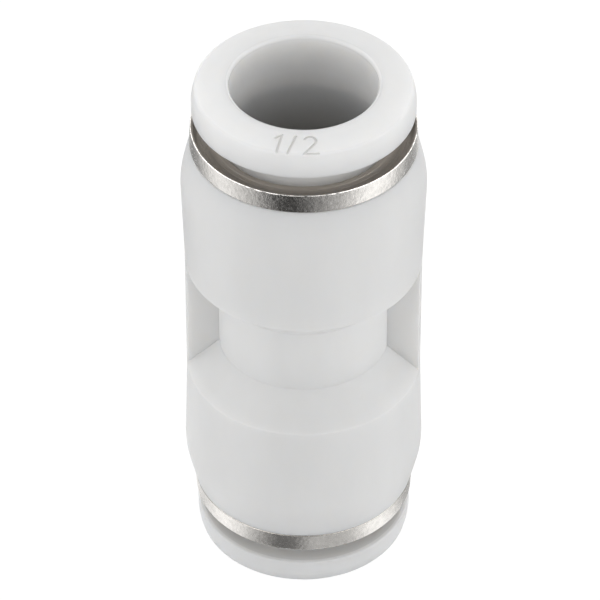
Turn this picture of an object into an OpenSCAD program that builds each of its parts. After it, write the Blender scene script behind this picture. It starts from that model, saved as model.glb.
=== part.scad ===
// Straight push-in tube union that takes one tube at each end. Millimetres.
// Z is the axis of both tubes, the middle of the body is at the origin, and one moulded web points along +X.

/* [Tube] */
// Outside diameter of the tube that each end takes
tube_d = 12.7; // [12:0.1:14]
// Radial play of the tube in the button's bore
bore_play = 0.10; // [0.05:0.01:0.20]
// Radial play of the tube in its socket in the body
socket_play = 0.07; // [0.05:0.01:0.20]
// Width of the shoulder that the tube stops on
stop_width = 1.25; // [0.8:0.05:2]
// Half the thickness of the wall between the two tube stops
stop_half = 1.2; // [0.6:0.1:2]

/* [Body] */
// Length of the neck between the two flanks
neck_length = 6.44; // [5:0.02:9]
// Wall of the neck round the tube socket
neck_wall = 1.04; // [0.8:0.02:1.6]
// Height of each sloping flank between the neck and a drum
flank_height = 2.84; // [1.5:0.01:4]
// How far each drum narrows from its shoulder to its waist edge, as mould draft
drum_draft = 0.29; // [0.05:0.01:0.5]
// Height of the sloping shoulder at each end
shoulder_height = 3.54; // [2:0.02:5]
// How far a shoulder narrows from the drum to the end face
shoulder_rise = 0.84; // [0.3:0.02:1.2]
// Wall of the body at its end face, round the collar
end_wall = 0.84; // [0.6:0.02:1.4]
// Thickness of the two flat webs beside the neck
web_thickness = 2.4; // [1.2:0.1:3]
// How far the webs stay inside the drums' waist edge
web_inset = 0.02; // [0.01:0.01:0.3]
// Rounding of a web's outer corners
web_fillet = 0.6; // [0.2:0.05:0.9]
// Depth of the seal seat's floor outward of the waist edge
seat_offset = 0.32; // [0.1:0.02:1]
// Chamfer that leads the tube into its socket
socket_lead = 0.45; // [0.2:0.05:0.6]
// Radius of the gate's dimple in the edge of one web
gate_radius = 0.95; // [0.6:0.05:1.1]
// Depth of the dimple
gate_depth = 0.3; // [0.1:0.05:0.5]
// How far the dimple's middle is below the body's middle
gate_drop = 0.4; // [0:0.1:2.4]

/* [Release button] */
// Wall of the button's stem
button_wall = 1.0; // [0.8:0.05:1.4]
// How far the flange stands out past the stem
flange_overhang = 2.26; // [1.6:0.02:2.6]
// Thickness of the flange
flange_thickness = 2.84; // [1.8:0.02:3.5]
// Width of the flat ring round the bore's mouth
face_flat = 0.9; // [0.6:0.05:1.5]
// How far the face slopes down from that ring to its edge
face_drop = 0.4; // [0.1:0.02:0.6]
// Width of the soft edge between the face and the side
edge_width = 0.28; // [0.2:0.02:0.8]
// Height of the soft edge
edge_height = 1.1; // [0.6:0.05:1.5]
// Rounding where the face meets the soft edge
face_round = 0.35; // [0.2:0.05:0.8]
// Rounding where the soft edge meets the side
side_round = 3.0; // [1:0.1:3.5]
// Rounding of the bore's mouth
mouth_fillet = 0.3; // [0.1:0.05:0.5]
// How far the button travels when it is pressed
travel = 1.65; // [1.2:0.05:2.2]
// Gap left under the flange at the end of the travel
stop_gap = 0.12; // [0.1:0.01:0.4]
// How far the hooks stand out of the stem
hook_reach = 0.6; // [0.3:0.05:0.8]
// Height of the hooks
hook_height = 1.45; // [1:0.05:2.2]
// Play of the hooks under the collar's step
hook_play = 0.05; // [0.02:0.01:0.1]
// Room left between the pressed hooks and the claw's rim
hook_lift = 0.15; // [0.1:0.05:0.4]
// Number of spring fingers that the stem is slit into
finger_count = 4; // [2:1:6]
// Width of the slits between the fingers
finger_slit = 0.9; // [0.5:0.1:1.4]
// How far the straight part of the slits runs past the hooks
slit_run = 0.2; // [0.1:0.05:1]
// Gap between the button's nose and the claw's teeth
nose_gap = 0.25; // [0.1:0.05:0.5]
// Width of the flat ring at the tip of the nose
nose_flat = 0.3; // [0.1:0.05:0.5]

/* [Guide collar] */
// Radial clearance of the stem in the collar
slide_clearance = 0.05; // [0.02:0.01:0.09]
// Length of the bore that guides the stem
guide_length = 3.6; // [2.5:0.05:5]
// Radial room outside the hooks
hook_room = 0.25; // [0.15:0.05:0.5]
// Wall of the sleeve round the hooks
sleeve_wall = 0.75; // [0.5:0.05:1.2]
// Height of the part of the collar that shows outside the body
head_height = 1.80; // [1.2:0.02:2.6]
// How much the head narrows towards its rim
head_taper = 0.09; // [0.05:0.01:0.3]
// Thickness of the head's rim
rim_thickness = 0.3; // [0.2:0.05:0.6]
// Depth of the cup inside the rim
cup_depth = 0.76; // [0.4:0.02:1]
// Number of turned grooves in the cup's floor
groove_count = 3; // [1:1:4]
// Depth of the turned grooves
groove_depth = 0.08; // [0.02:0.01:0.15]
// Number of barbs that hold the sleeve in the body
barb_count = 2; // [1:1:3]
// Distance from one barb to the next
barb_pitch = 1.4; // [1:0.1:1.7]
// How far the barbs bite into the body
barb_bite = 0.08; // [0.06:0.01:0.15]

/* [Lock claw] */
// Thickness of the sheet that the claw is stamped from
claw_thickness = 0.3; // [0.2:0.05:0.4]
// Number of teeth
tooth_count = 14; // [8:1:20]
// Slope of the teeth away from the rim
tooth_angle = 38; // [25:1:45]
// How far the tips reach inside the tube's surface
tooth_bite = 0.15; // [0.05:0.01:0.3]
// Width of the slots between the teeth
tooth_slot = 0.6; // [0.4:0.05:1]
// Radius of the relief hole at the root of each slot
root_radius = 0.42; // [0.3:0.02:0.5]

/* [Spacer ring] */
// Height of the ring between the seal and the claw
spacer_height = 3.5; // [3.2:0.05:5]
// Height of the lip that backs the seal
spacer_lip = 0.65; // [0.4:0.05:0.8]
// Height of the slope above the lip
spacer_slope = 0.85; // [0.5:0.05:1]
// Radial play between the tube and the lip
lip_play = 0.2; // [0.1:0.05:0.3]

/* [Lip seal] */
// Height of the seal
seal_height = 2.8; // [2.4:0.1:4]
// How far the seal's lip reaches inside the tube's surface
seal_bite = 0.15; // [0.05:0.01:0.3]
// Thickness of each of the seal's legs
seal_leg = 0.75; // [0.5:0.05:0.9]
// Depth of the groove between the legs
seal_groove = 1.6; // [1:0.1:1.8]

/* [Fits] */
// Radial clearance of the rings in the body's bore
seat_clearance = 0.05; // [0.02:0.01:0.1]
// Rounding of small moulded and turned edges
edge_fillet = 0.15; // [0.05:0.01:0.2]

/* [Hidden] */
$fn = 128;

// Segments in a rounded corner
CORNER_STEPS = 5;
// Length by which a cutter passes the face it cuts
PAST = 1;

// Radii, from the tube outward
tube_r = tube_d / 2;
bore_r = tube_r + bore_play;
socket_r = tube_r + socket_play;
passage_r = tube_r - stop_width;
stem_r = bore_r + button_wall;
guide_r = stem_r + slide_clearance;
hook_r = stem_r + hook_reach;
room_r = hook_r + hook_room;
sleeve_r = room_r + sleeve_wall;
cavity_r = sleeve_r + seat_clearance;
end_r = cavity_r + end_wall;
drum_r = end_r + shoulder_rise;
waist_r = drum_r - drum_draft;
web_r = waist_r - web_inset;
neck_r = socket_r + neck_wall;
flange_r = stem_r + flange_overhang;
rim_r = end_r - head_taper;

// Heights, from the middle of the body outward
neck_z = neck_length / 2;
waist_z = neck_z + flank_height;
seat_z = waist_z + seat_offset;
seal_z = seat_z + seal_height;
spacer_z = seal_z + spacer_height;
claw_z = spacer_z + claw_thickness;
hook_z = claw_z + travel + hook_lift;
step_z = hook_z + hook_height + hook_play;
floor_z = step_z + guide_length;
rim_z = floor_z + cup_depth;
end_z = rim_z - head_height;
shoulder_z = end_z - shoulder_height;
flange_z = rim_z + travel + stop_gap;
top_z = flange_z + flange_thickness;
face_edge_z = top_z - face_drop;

// Teeth: radius of the tips, and height of the upper face of a tooth at a radius
tip_r = tube_r - tooth_bite;
function tooth_z(r) = claw_z - (room_r - r) * tan(tooth_angle);

WHITE_BODY = [0.83, 0.83, 0.82];
WHITE_BUTTON = [0.91, 0.91, 0.90];
NICKEL = [0.72, 0.70, 0.67];
SPRING_STEEL = [0.60, 0.61, 0.62];
WHITE_SPACER = [0.80, 0.80, 0.79];
SEAL_BLACK = [0.10, 0.10, 0.10];

function unit(v) = v / norm(v);

// Arc that rounds the corner at b, on the way from a to c, by a radius
function corner_arc(a, b, c, radius) =
    let (
        back = unit(a - b),
        ahead = unit(c - b),
        half = acos(back * ahead) / 2,
        middle = b + unit(back + ahead) * radius / sin(half),
        start = b + back * radius / tan(half) - middle,
        first = atan2(start.y, start.x),
        turn = (back.x * ahead.y - back.y * ahead.x > 0 ? -1 : 1) * (180 - 2 * half)
    )
    [for (i = [0:CORNER_STEPS]) middle + radius * [cos(first + turn * i / CORNER_STEPS),
                                                   sin(first + turn * i / CORNER_STEPS)]];

function point(corner) = [corner.x, corner.y];

// Outline through corners given as [x, y, rounding]
function outline(corners) =
    let (n = len(corners))
    [for (i = [0:n - 1])
        each corners[i].z == 0
            ? [point(corners[i])]
            : corner_arc(point(corners[(i + n - 1) % n]), point(corners[i]),
                         point(corners[(i + 1) % n]), corners[i].z)];

// A half outline of the body, from its end to its middle, followed by its mirror image
function both_halves(half) =
    concat(half, [for (i = [len(half) - 1:-1:0]) [half[i].x, -half[i].y, half[i].z]]);

// A turned or moulded ring with the given section
module ring(corners) {
    rotate_extrude()
        polygon(outline(corners));
}

// Places a piece drawn for the top end at the bottom end too
module at_bottom() {
    mirror([0, 0, 1])
        children();
}

// Two flat webs, on the mould's parting plane, that join the drums beside the neck
module webs() {
    half_t = web_thickness / 2;
    translate([0, 0, -waist_z])
        linear_extrude(2 * waist_z)
            polygon(outline([
                [web_r, -half_t, web_fillet],
                [web_r, half_t, web_fillet],
                [-web_r, half_t, web_fillet],
                [-web_r, -half_t, web_fillet],
            ]));
}

// Round dimple in the edge of one web, where the plastic was injected
module gate_mark() {
    ball_r = (gate_radius * gate_radius + gate_depth * gate_depth) / (2 * gate_depth);
    translate([web_r - gate_depth + ball_r, 0, -gate_drop])
        sphere(r = ball_r);
}

module body_outside() {
    ring(both_halves([
        [0, end_z, 0],
        [end_r, end_z, edge_fillet],
        [drum_r, shoulder_z, edge_fillet],
        [waist_r, waist_z, edge_fillet],
        [neck_r, neck_z, edge_fillet],
    ]));
    webs();
}

// Seats for the rings at each end, the tube sockets, and the passage between them
module body_inside() {
    ring(both_halves([
        [0, end_z + PAST, 0],
        [cavity_r, end_z + PAST, 0],
        [cavity_r, seat_z, 0],
        [socket_r + socket_lead, seat_z, 0],
        [socket_r, seat_z - socket_lead, 0],
        [socket_r, stop_half, 0],
        [passage_r, stop_half, 0],
    ]));
}

module body() {
    color(WHITE_BODY)
        difference() {
            body_outside();
            body_inside();
            gate_mark();
        }
}

// Rubber ring with two legs that the pressure spreads against the tube and the body
module lip_seal() {
    lip_r = tube_r - seal_bite;
    crest_z = seat_z + seal_leg;
    groove_z = seat_z + seal_groove;
    color(SEAL_BLACK)
        ring([
            [sleeve_r, seat_z, edge_fillet],
            [sleeve_r, seal_z, edge_fillet],
            [lip_r + seal_leg, seal_z, edge_fillet],
            [lip_r, crest_z, edge_fillet],
            [lip_r + seal_leg / 2, seat_z + edge_fillet, 0],
            [lip_r + seal_leg, seat_z + edge_fillet, 0],
            [lip_r + 1.5 * seal_leg, groove_z, edge_fillet],
            [sleeve_r - 1.5 * seal_leg, groove_z, edge_fillet],
            [sleeve_r - seal_leg, seat_z, 0],
        ]);
}

// Ring that backs the seal, supports the claw's rim and leaves room for the teeth to bend
module spacer_ring() {
    lip_r = tube_r + lip_play;
    well_r = hook_r;
    lip_z = seal_z + spacer_lip;
    chamfer = room_r + edge_fillet - well_r;
    color(WHITE_SPACER)
        ring([
            [sleeve_r, seal_z, 0],
            [sleeve_r, spacer_z, 0],
            [well_r + chamfer, spacer_z, 0],
            [well_r, spacer_z - chamfer * tan(tooth_angle) - edge_fillet, 0],
            [well_r, lip_z + spacer_slope, edge_fillet],
            [lip_r, lip_z, edge_fillet],
            [lip_r, seal_z, 0],
        ]);
}

// Slot between two teeth, with a relief hole at its root
module tooth_gap() {
    root_r = room_r - root_radius;
    translate([0, -tooth_slot / 2, spacer_z])
        translate([0, 0, -spacer_height])
            cube([root_r, tooth_slot, spacer_height + PAST]);
    translate([root_r, 0, spacer_z - spacer_height])
        cylinder(h = spacer_height + PAST, r = root_radius);
}

// Stamped ring whose sloping teeth let the tube in and bite when it is pulled
module lock_claw() {
    drop = claw_thickness / cos(tooth_angle);
    bend_r = room_r + (drop - claw_thickness) / tan(tooth_angle);
    color(SPRING_STEEL)
        difference() {
            ring([
                [sleeve_r, spacer_z, 0],
                [sleeve_r, claw_z, 0],
                [room_r, claw_z, edge_fillet],
                [tip_r, tooth_z(tip_r), 0],
                [tip_r, tooth_z(tip_r) - drop, 0],
                [bend_r, spacer_z, edge_fillet],
            ]);
            for (i = [0:tooth_count - 1])
                rotate([0, 0, (i + 0.5) * 360 / tooth_count])
                    tooth_gap();
        }
}

// Saw-toothed rings on the sleeve, sloping on the side that goes in first
function barbs() = [
    for (i = [0:barb_count - 1])
        let (z = step_z - i * barb_pitch)
        each [
            [sleeve_r, z, 0],
            [cavity_r + barb_bite, z, 0],
            [sleeve_r, z - barb_pitch / 2, 0],
        ]
];

// V-shaped grooves in the floor of the cup, from the rim inward
function grooves(outer_r, inner_r) =
    let (pitch = (outer_r - inner_r) / (groove_count + 1))
    [
        for (i = [1:groove_count])
            let (r = outer_r - i * pitch)
            each [
                [r + groove_depth, floor_z, 0],
                [r, floor_z - groove_depth, 0],
                [r - groove_depth, floor_z, 0],
            ]
    ];

// Plated collar pressed into the body, which clamps the claw and guides the button
module guide_collar() {
    lead = edge_fillet;
    cup_r = rim_r - rim_thickness;
    color(NICKEL)
        ring(concat(
            [
                [end_r, end_z, 0],
                [rim_r, rim_z, edge_fillet / 2],
                [cup_r, rim_z, edge_fillet / 2],
                [cup_r, floor_z, edge_fillet],
            ],
            grooves(cup_r - lead, guide_r + lead),
            [
                [guide_r + lead, floor_z, 0],
                [guide_r, floor_z - lead, 0],
                [guide_r, step_z, 0],
                [room_r, step_z, 0],
                [room_r, claw_z, 0],
                [sleeve_r - lead, claw_z, 0],
                [sleeve_r, claw_z + lead, 0],
            ],
            [for (i = [3 * barb_count - 1:-1:0]) barbs()[i]],
            [[sleeve_r, end_z, 0]]
        ));
}

// Slit that lets the fingers of the stem spring inward through the collar
module finger_gap() {
    slit_z = step_z + slit_run;
    translate([0, -finger_slit / 2, claw_z - spacer_height])
        cube([hook_r + PAST, finger_slit, slit_z - claw_z + spacer_height]);
    translate([0, 0, slit_z])
        rotate([0, 90, 0])
            cylinder(h = hook_r + PAST, r = finger_slit / 2);
}

// Flanged sleeve that opens the teeth when it is pushed in, and holds itself by its hooks
module release_button() {
    flat_r = bore_r + nose_flat;
    color(WHITE_BUTTON)
        difference() {
            ring([
                [bore_r, top_z, mouth_fillet],
                [bore_r + face_flat, top_z, 0],
                [flange_r - edge_width, face_edge_z, face_round],
                [flange_r, face_edge_z - edge_height, side_round],
                [flange_r, flange_z, edge_fillet],
                [stem_r, flange_z, edge_fillet],
                [stem_r, step_z - hook_play, 0],
                [hook_r, step_z - hook_play, 0],
                [hook_r, hook_z + hook_height / 2, 0],
                [stem_r, hook_z, 0],
                [stem_r, tooth_z(stem_r) + nose_gap, 0],
                [flat_r, tooth_z(flat_r) + nose_gap, 0],
                [bore_r, tooth_z(flat_r) + nose_gap, 0],
            ]);
            for (i = [0:finger_count - 1])
                rotate([0, 0, (i + 0.5) * 360 / finger_count])
                    finger_gap();
        }
}

body();
lip_seal();  // top_lip_seal
spacer_ring();  // top_spacer_ring
lock_claw();  // top_lock_claw
guide_collar();  // top_guide_collar
release_button();  // top_release_button
at_bottom() lip_seal();  // bottom_lip_seal
at_bottom() spacer_ring();  // bottom_spacer_ring
at_bottom() lock_claw();  // bottom_lock_claw
at_bottom() guide_collar();  // bottom_guide_collar
at_bottom() release_button();  // bottom_release_button
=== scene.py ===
"""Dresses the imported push-in tube union, and sets up its studio and camera.

Sizes in the classes are millimetres where nothing else is said. The scene is in metres, and +Z
runs out of the top release button.
"""

import logging
import math
from collections.abc import Callable, Iterator
from contextlib import contextmanager
from dataclasses import dataclass, field
from enum import Enum
from functools import cached_property

import bmesh
import bpy
from mathutils import Matrix, Vector


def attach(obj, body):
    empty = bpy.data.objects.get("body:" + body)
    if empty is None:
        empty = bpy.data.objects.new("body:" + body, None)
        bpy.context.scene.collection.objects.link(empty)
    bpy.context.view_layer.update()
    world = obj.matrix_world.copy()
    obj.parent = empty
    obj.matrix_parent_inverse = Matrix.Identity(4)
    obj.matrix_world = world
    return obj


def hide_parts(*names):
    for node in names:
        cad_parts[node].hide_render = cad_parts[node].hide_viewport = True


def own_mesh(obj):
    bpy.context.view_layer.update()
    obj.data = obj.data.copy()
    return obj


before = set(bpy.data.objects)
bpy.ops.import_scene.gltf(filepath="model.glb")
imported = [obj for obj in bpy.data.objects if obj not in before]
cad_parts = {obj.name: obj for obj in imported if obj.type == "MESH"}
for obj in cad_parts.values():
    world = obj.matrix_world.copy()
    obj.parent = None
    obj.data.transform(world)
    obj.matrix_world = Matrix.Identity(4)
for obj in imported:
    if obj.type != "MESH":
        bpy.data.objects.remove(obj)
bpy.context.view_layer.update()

# A millimetre in metres, and how near counts as the same place, in metres
MM = 0.001
NEAR = 1e-5
# Half the width of a change of colour from place to place, in millimetres
SOFT = 0.03
# Share of an edge that one rounding may take
EDGE_SHARE = 0.45
# The values of a noise pattern that are spread out, from lowest to highest
NOISE_SPAN = (0.3, 0.7)
log = logging.getLogger("tube_union")

Colour = tuple[float, float, float]
Corner = tuple[float, float, float]
Point = tuple[float, float, float]
Spot = tuple[float, float]
Piece = bpy.types.Object
Socket = bpy.types.NodeSocket
Test = Callable[[list[Vector]], bool]


class End(Enum):
    """The end of the fitting that a piece belongs to."""

    TOP = "top"
    BOTTOM = "bottom"

    @property
    def button(self) -> str:
        """Name of the body that this end's release button is."""
        return f"{self.value}_button"

    @property
    def press(self) -> str:
        """Name of the joint that presses this end's release button."""
        return f"{self.value}_button_press"


class Join(Enum):
    """What a tool does to the piece that it meets."""

    FUSE = "UNION"
    CUT = "DIFFERENCE"


# Bench tools


def put_down() -> None:
    """Deselects every object."""
    if bpy.context.object and bpy.context.object.mode != "OBJECT":
        bpy.ops.object.mode_set(mode="OBJECT")
    bpy.ops.object.select_all(action="DESELECT")


def take(piece: Piece) -> None:
    """Selects only one piece and makes it active.

    Args:
        piece: The object to work on.
    """
    put_down()
    piece.select_set(True)
    bpy.context.view_layer.objects.active = piece


@contextmanager
def edit(piece: Piece, kind: str = "EDGE") -> Iterator[None]:
    """Opens a piece in edit mode with nothing selected, and closes it at the end.

    Args:
        piece: The mesh object.
        kind: What is selected in it: VERT, EDGE or FACE.

    Yields:
        Nothing, while the piece is in edit mode.
    """
    take(piece)
    bpy.ops.object.mode_set(mode="EDIT")
    bpy.ops.mesh.select_mode(type=kind)
    bpy.ops.mesh.select_all(action="DESELECT")
    yield
    bpy.ops.object.mode_set(mode="OBJECT")


def pick(piece: Piece, kind: str, test: Test) -> None:
    """Selects only those edges or faces of a piece in edit mode whose corners pass a test.

    Args:
        piece: The mesh object in edit mode.
        kind: EDGE or FACE.
        test: Says from an element's corners whether it is wanted.
    """
    mesh = bmesh.from_edit_mesh(piece.data)
    bpy.ops.mesh.select_all(action="DESELECT")
    for part in mesh.edges if kind == "EDGE" else mesh.faces:
        if test([v.co for v in part.verts]):
            part.select_set(True)
    mesh.select_flush_mode()
    bmesh.update_edit_mesh(piece.data)


def settle(piece: Piece) -> Piece:
    """Moves a piece's place, turn and scale into its mesh, so that its object sits at the origin.

    Args:
        piece: The mesh object.

    Returns:
        The piece.
    """
    take(piece)
    bpy.ops.object.transform_apply(location=True, rotation=True, scale=True)
    return piece


def rename(piece: Piece, name: str) -> Piece:
    """Names an object and its mesh.

    Args:
        piece: The mesh object.
        name: Its name.

    Returns:
        The piece.
    """
    piece.name = name
    piece.data.name = name
    return piece


def on_ring(radius: float, height: float) -> Test:
    """Makes the test for edges that lie on a ring about the fitting's axis.

    Args:
        radius: The ring's radius in metres.
        height: The ring's height in metres.

    Returns:
        The test, for pick.
    """

    def test(corners: list[Vector]) -> bool:
        """Says whether all the corners lie on the ring."""
        return all(abs(math.hypot(c.x, c.y) - radius) < NEAR and abs(c.z - height) < NEAR
                   for c in corners)

    return test


def bevel_offset(before: Corner, corner: Corner, after: Corner) -> float:
    """Finds how far from a corner its rounding starts, within its share of each edge.

    Args:
        before: The corner before it, as radius, height and rounding in millimetres.
        corner: The corner to round.
        after: The corner after it.

    Returns:
        The distance in metres.
    """
    back = Vector((before[0] - corner[0], before[1] - corner[1]))
    ahead = Vector((after[0] - corner[0], after[1] - corner[1]))
    turn = math.pi - back.angle(ahead)
    limit = EDGE_SHARE * min(back.length, ahead.length)
    return min(corner[2] * math.tan(turn / 2), limit) * MM


def round_off(offset: float, steps: int) -> None:
    """Rounds the selected edges of the piece in edit mode.

    Args:
        offset: How far from the edge the rounding starts, in metres.
        steps: Segments in the rounding.
    """
    bpy.ops.mesh.bevel(offset=offset, segments=steps, profile=0.5, affect="EDGES")


def turned(name: str, corners: list[Corner], segments: int = 192, steps: int = 4) -> Piece:
    """Turns a closed ring section about the fitting's axis.

    A circle is extruded and resized from corner to corner, its two ends are bridged, and the
    edges are bevelled.

    Args:
        name: The piece's name.
        corners: The section, as radius, height and rounding in millimetres.
        segments: Segments round the axis.
        steps: Segments in each rounding.

    Returns:
        The piece, with its normals outward.
    """
    put_down()
    first_r, first_z, _ = corners[0]
    start = (0, 0, first_z * MM)
    bpy.ops.mesh.primitive_circle_add(vertices=segments, radius=first_r * MM, location=start)
    piece = settle(rename(bpy.context.object, name))
    with edit(piece):
        bpy.ops.mesh.select_all(action="SELECT")
        for (r0, z0, _), (r1, z1, _) in zip(corners, corners[1:]):
            rise, ratio = (z1 - z0) * MM, r1 / r0
            bpy.ops.mesh.extrude_region_move(TRANSFORM_OT_translate={"value": (0, 0, rise)})
            bpy.ops.transform.resize(value=(ratio, ratio, 1), center_override=(0, 0, z1 * MM))
        bpy.ops.mesh.select_all(action="DESELECT")
        bpy.ops.mesh.select_non_manifold()
        bpy.ops.mesh.bridge_edge_loops()
        count = len(corners)
        for i, corner in enumerate(corners):
            if corner[2] > 0:
                offset = bevel_offset(corners[i - 1], corner, corners[(i + 1) % count])
                pick(piece, "EDGE", on_ring(corner[0] * MM, corner[1] * MM))
                round_off(offset, steps)
        bpy.ops.mesh.select_all(action="SELECT")
        bpy.ops.mesh.normals_make_consistent(inside=False)
    return piece


def join_tool(piece: Piece, tool: Piece, how: Join) -> None:
    """Fuses a tool into a piece or cuts it out of the piece, and removes the tool.

    Args:
        piece: The piece that is kept.
        tool: The closed mesh that is used up.
        how: Fuse or cut.
    """
    take(piece)
    faces = len(piece.data.polygons)
    bpy.ops.object.modifier_add(type="BOOLEAN")
    modifier = piece.modifiers[-1]
    modifier.operation = how.value
    modifier.object = tool
    modifier.solver = "EXACT"
    bpy.ops.object.modifier_apply(modifier=modifier.name)
    if len(piece.data.polygons) < faces / 2:
        raise RuntimeError(f"{tool.name} broke {piece.name}")
    take(tool)
    bpy.ops.object.delete()


def smooth(piece: Piece, angle: float = 28.0) -> Piece:
    """Shades a piece smooth below an angle, with its large faces kept flat.

    Args:
        piece: The finished mesh object.
        angle: Edges sharper than this, in degrees, stay sharp.

    Returns:
        The piece.
    """
    take(piece)
    bpy.ops.object.shade_smooth_by_angle(angle=math.radians(angle))
    bpy.ops.object.modifier_add(type="WEIGHTED_NORMAL")
    piece.modifiers[-1].keep_sharp = True
    bpy.ops.object.modifier_apply(modifier=piece.modifiers[-1].name)
    return piece


def flipped(piece: Piece, name: str) -> Piece:
    """Copies a piece with a mesh of its own and turns the copy upside down.

    Args:
        piece: The piece of the top end.
        name: The copy's name.

    Returns:
        The copy, for the bottom end.
    """
    take(piece)
    bpy.ops.object.duplicate(linked=False)
    copy = rename(bpy.context.object, name)
    copy.matrix_world = Matrix.Rotation(math.pi, 4, "X")
    return settle(copy)


def block(name: str, low: Point, high: Point) -> Piece:
    """Adds a cube stretched between two corners.

    Args:
        name: The piece's name.
        low: Lowest corner in millimetres.
        high: Highest corner in millimetres.

    Returns:
        The piece.
    """
    put_down()
    middle = [(a + b) / 2 * MM for a, b in zip(low, high)]
    bpy.ops.mesh.primitive_cube_add(size=1, location=middle)
    piece = rename(bpy.context.object, name)
    piece.scale = [(b - a) * MM for a, b in zip(low, high)]
    return settle(piece)


# Finishes


class Shader:
    """The nodes of a material or of the world, added one by one."""

    def __init__(self, name: str, world: bool = False) -> None:
        """Makes an empty node material or world with its output.

        Args:
            name: Its name.
            world: Whether it is a world.
        """
        self.owner = (bpy.data.worlds if world else bpy.data.materials).new(name)
        self.owner.use_nodes = True
        self.tree = self.owner.node_tree
        self.tree.nodes.clear()
        self.output = self.add("ShaderNodeOutputWorld" if world else "ShaderNodeOutputMaterial")

    def add(self, kind: str, **settings: object) -> bpy.types.Node:
        """Adds a node.

        Args:
            kind: The node's Blender type.
            settings: Its properties.

        Returns:
            The node.
        """
        node = self.tree.nodes.new(kind)
        for key, value in settings.items():
            setattr(node, key, value)
        return node

    def link(self, source: Socket, target: Socket) -> None:
        """Links one socket to another."""
        self.tree.links.new(source, target)

    def show(self, surface: Socket) -> None:
        """Links a shader to the output."""
        self.link(surface, self.output.inputs["Surface"])

    @cached_property
    def place(self) -> Socket:
        """The object's own coordinates."""
        return self.add("ShaderNodeTexCoord").outputs["Object"]

    @cached_property
    def height(self) -> Socket:
        """How far a point is above or below the fitting's middle, in metres."""
        return self.math("ABSOLUTE", self.part("Z"))

    @cached_property
    def radius(self) -> Socket:
        """How far a point is from the fitting's axis.

        Returns:
            The distance in metres.
        """
        away = self.add("ShaderNodeVectorMath", operation="LENGTH")
        self.link(self.mapped((1, 1, 0)), away.inputs[0])
        return away.outputs["Value"]

    def mapped(self, scale: Point = (1, 1, 1), turn: float = 0.0) -> Socket:
        """Stretches the coordinates, and turns them about the fitting's axis.

        Args:
            scale: Their stretch along X, Y and Z.
            turn: Their turn in radians.

        Returns:
            The new coordinates.
        """
        node = self.add("ShaderNodeMapping")
        node.inputs["Scale"].default_value = scale
        node.inputs["Rotation"].default_value = (0, 0, turn)
        self.link(self.place, node.inputs["Vector"])
        return node.outputs[0]

    def part(self, axis: str, place: Socket | None = None) -> Socket:
        """Takes one part of some coordinates.

        Args:
            axis: X, Y or Z.
            place: The coordinates, or none for the object's own.

        Returns:
            The part.
        """
        node = self.add("ShaderNodeSeparateXYZ")
        self.link(self.place if place is None else place, node.inputs[0])
        return node.outputs[axis]

    def math(self, operation: str, first: Socket, second: Socket | float | None = None) -> Socket:
        """Adds a calculation.

        Args:
            operation: What is done, as Blender names it.
            first: The first value.
            second: The second value, where the calculation has one.

        Returns:
            The result.
        """
        node = self.add("ShaderNodeMath", operation=operation)
        self.link(first, node.inputs[0])
        if isinstance(second, Socket):
            self.link(second, node.inputs[1])
        elif second is not None:
            node.inputs[1].default_value = second
        return node.outputs[0]

    def noise(self, size: float, detail: float = 2.0, rough: float = 0.5,
              place: Socket | None = None) -> Socket:
        """Adds a noise pattern.

        Args:
            size: Size of its features in millimetres.
            detail: How many finer layers it has.
            rough: Strength of the finer layers.
            place: The coordinates, or none for the object's own.

        Returns:
            The value, from 0 to 1.
        """
        node = self.add("ShaderNodeTexNoise", noise_dimensions="3D")
        self.link(self.place if place is None else place, node.inputs["Vector"])
        node.inputs["Scale"].default_value = 1 / (size * MM)
        node.inputs["Detail"].default_value = detail
        node.inputs["Roughness"].default_value = rough
        return node.outputs["Fac"]

    def spread(self, value: Socket, span: Spot, result: Spot = (0, 1), unit: float = 1.0) -> Socket:
        """Maps a value's span to another one, clamped.

        Args:
            value: The value.
            span: Lowest and highest value that counts.
            result: What those two become.
            unit: What the span is counted in.

        Returns:
            The mapped value.
        """
        node = self.add("ShaderNodeMapRange", clamp=True)
        self.link(value, node.inputs["Value"])
        limits = (span[0] * unit, span[1] * unit, *result)
        for name, number in zip(("From Min", "From Max", "To Min", "To Max"), limits):
            node.inputs[name].default_value = number
        return node.outputs["Result"]

    def within(self, radius: float, soft: float = SOFT) -> Socket:
        """Finds what lies nearer to the fitting's axis than a radius.

        Args:
            radius: The radius in millimetres.
            soft: Half the width of the change, in millimetres.

        Returns:
            1 inside the radius and 0 outside it.
        """
        return self.spread(self.radius, (radius - soft, radius + soft), (1, 0), MM)

    def both(self, first: Socket, second: Socket) -> Socket:
        """Returns what two shares have in common, their product."""
        return self.math("MULTIPLY", first, second)

    def tint(self, share: Socket, low: Socket | Colour, high: Socket | Colour,
             blend: str = "MIX") -> Socket:
        """Lays a second colour over a first.

        Args:
            share: The share of the second colour.
            low: The first colour.
            high: The second colour.
            blend: How they meet, as Blender names it.

        Returns:
            The colour.
        """
        node = self.add("ShaderNodeMix", data_type="RGBA", blend_type=blend)
        self.link(share, node.inputs[0])
        for colour, target in ((low, node.inputs[6]), (high, node.inputs[7])):
            if isinstance(colour, Socket):
                self.link(colour, target)
            else:
                target.default_value = (*colour, 1)
        return node.outputs[2]

    def bump(self, height: Socket, depth: float, below: Socket | None = None) -> Socket:
        """Adds a bump.

        Args:
            height: The height pattern.
            depth: Its depth in millimetres.
            below: A bump that this one adds to.

        Returns:
            The normal.
        """
        node = self.add("ShaderNodeBump")
        node.inputs["Distance"].default_value = depth * MM
        self.link(height, node.inputs["Height"])
        if below is not None:
            self.link(below, node.inputs["Normal"])
        return node.outputs["Normal"]

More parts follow.
